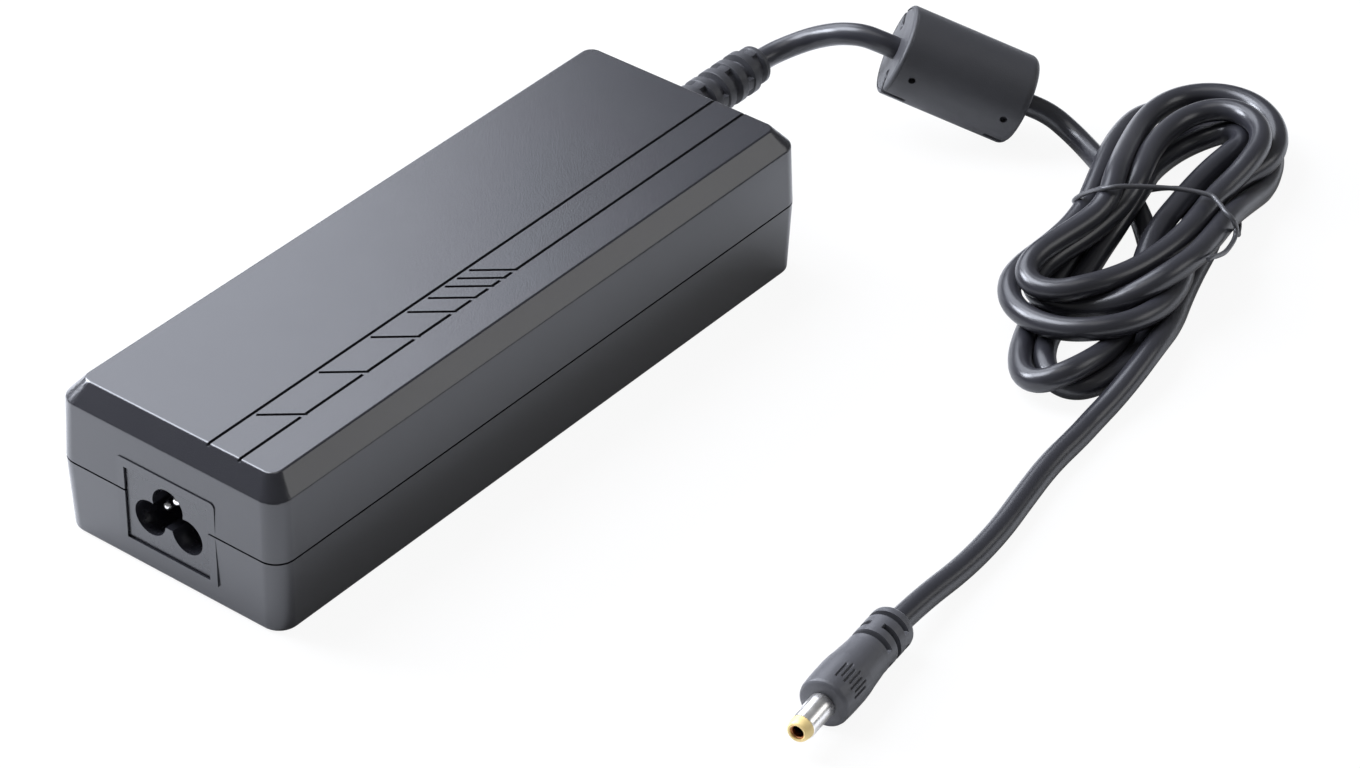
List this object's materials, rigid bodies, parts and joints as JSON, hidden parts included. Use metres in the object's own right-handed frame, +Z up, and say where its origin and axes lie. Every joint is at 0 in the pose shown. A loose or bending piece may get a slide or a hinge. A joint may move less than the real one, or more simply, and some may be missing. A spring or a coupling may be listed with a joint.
{
  "type": "laptop power adapter",
  "caption": "Slim rectangular power brick with a chamfered, grooved top, a recessed mains inlet, and a low-voltage lead with a ferrite bead, a tied hank and a barrel plug.",
  "frame": {"origin": "centre of the case's foot, on the surface it stands on", "axes": "+Y along the case from the mains inlet to the lead's exit, +Z up, +X to the side on which the grooves and the hank lie"},
  "size_m": [0.1634, 0.2746, 0.0364],
  "materials": {
    "case_plastic": "fine matte moulded texture",
    "inlet_plastic": "smooth moulded",
    "pin_metal": "nickel plated",
    "board": "resin laminate",
    "sheet": "plain film",
    "fuse_body": "moulded",
    "disc_blue": "dipped resin",
    "disc_dark": "dipped resin",
    "film_box": "moulded box",
    "ferrite": "sintered ceramic",
    "copper_wire": "enamelled copper",
    "winding_tape": "polyester tape",
    "former": "moulded",
    "package_resin": "moulded",
    "sheet_aluminium": "rolled",
    "can_sleeve": "shrunk sleeve",
    "choke_sleeve": "shrunk sleeve",
    "screw_steel": "zinc plated",
    "thermal_pad": "soft filled silicone",
    "wire_red": "insulation",
    "wire_black": "insulation",
    "relief_rubber": "moulded",
    "cord_pvc": "smooth extruded",
    "bead_plastic": "moulded",
    "tie_cover": "covered wire",
    "plug_plastic": "moulded",
    "barrel_metal": "nickel plated",
    "tip_plastic": "moulded",
    "contact_metal": "sprung alloy"
  },
  "bodies": {
    "root": {"top_cover": "case_plastic", "bottom_case": "case_plastic", "inlet_block": "inlet_plastic", "line_pin": "pin_metal", "neutral_pin": "pin_metal", "earth_pin": "pin_metal", "circuit_board": "board", "insulation_sheet": "sheet", "fuse": "fuse_body", "varistor": "disc_blue", "y_capacitor": "disc_blue", "thermistor": "disc_dark", "x_capacitor": "film_box", "line_choke_core": "ferrite", "boost_inductor_core": "ferrite", "transformer_core": "ferrite", "bead_core": "ferrite", "line_choke_windings": "copper_wire", "boost_inductor_winding": "copper_wire", "transformer_winding": "winding_tape", "transformer_bobbin": "former", "line_choke_base": "former", "bridge_rectifier": "package_resin", "switching_transistor": "package_resin", "output_rectifier": "package_resin", "optocoupler": "package_resin", "controller_chip": "package_resin", "primary_heatsink": "sheet_aluminium", "secondary_heatsink": "sheet_aluminium", "heat_spreader": "sheet_aluminium", "bulk_capacitor": "can_sleeve", "output_capacitors": "can_sleeve", "output_choke": "choke_sleeve", "heatsink_screws": "screw_steel", "thermal_pads": "thermal_pad", "lead_positive": "wire_red", "lead_negative": "wire_black", "strain_relief": "relief_rubber", "cord_tail": "cord_pvc", "cord_first_stretch": "cord_pvc", "cord_bead_run": "cord_pvc", "cord_second_stretch": "cord_pvc", "cord_hank": "cord_pvc", "cord_last_stretch": "cord_pvc", "bead_cover": "bead_plastic", "hank_tie": "tie_cover", "plug_grip": "plug_plastic", "plug_barrel": "barrel_metal", "plug_insulator": "tip_plastic", "plug_contact": "contact_metal"}
  },
  "joints": []
}
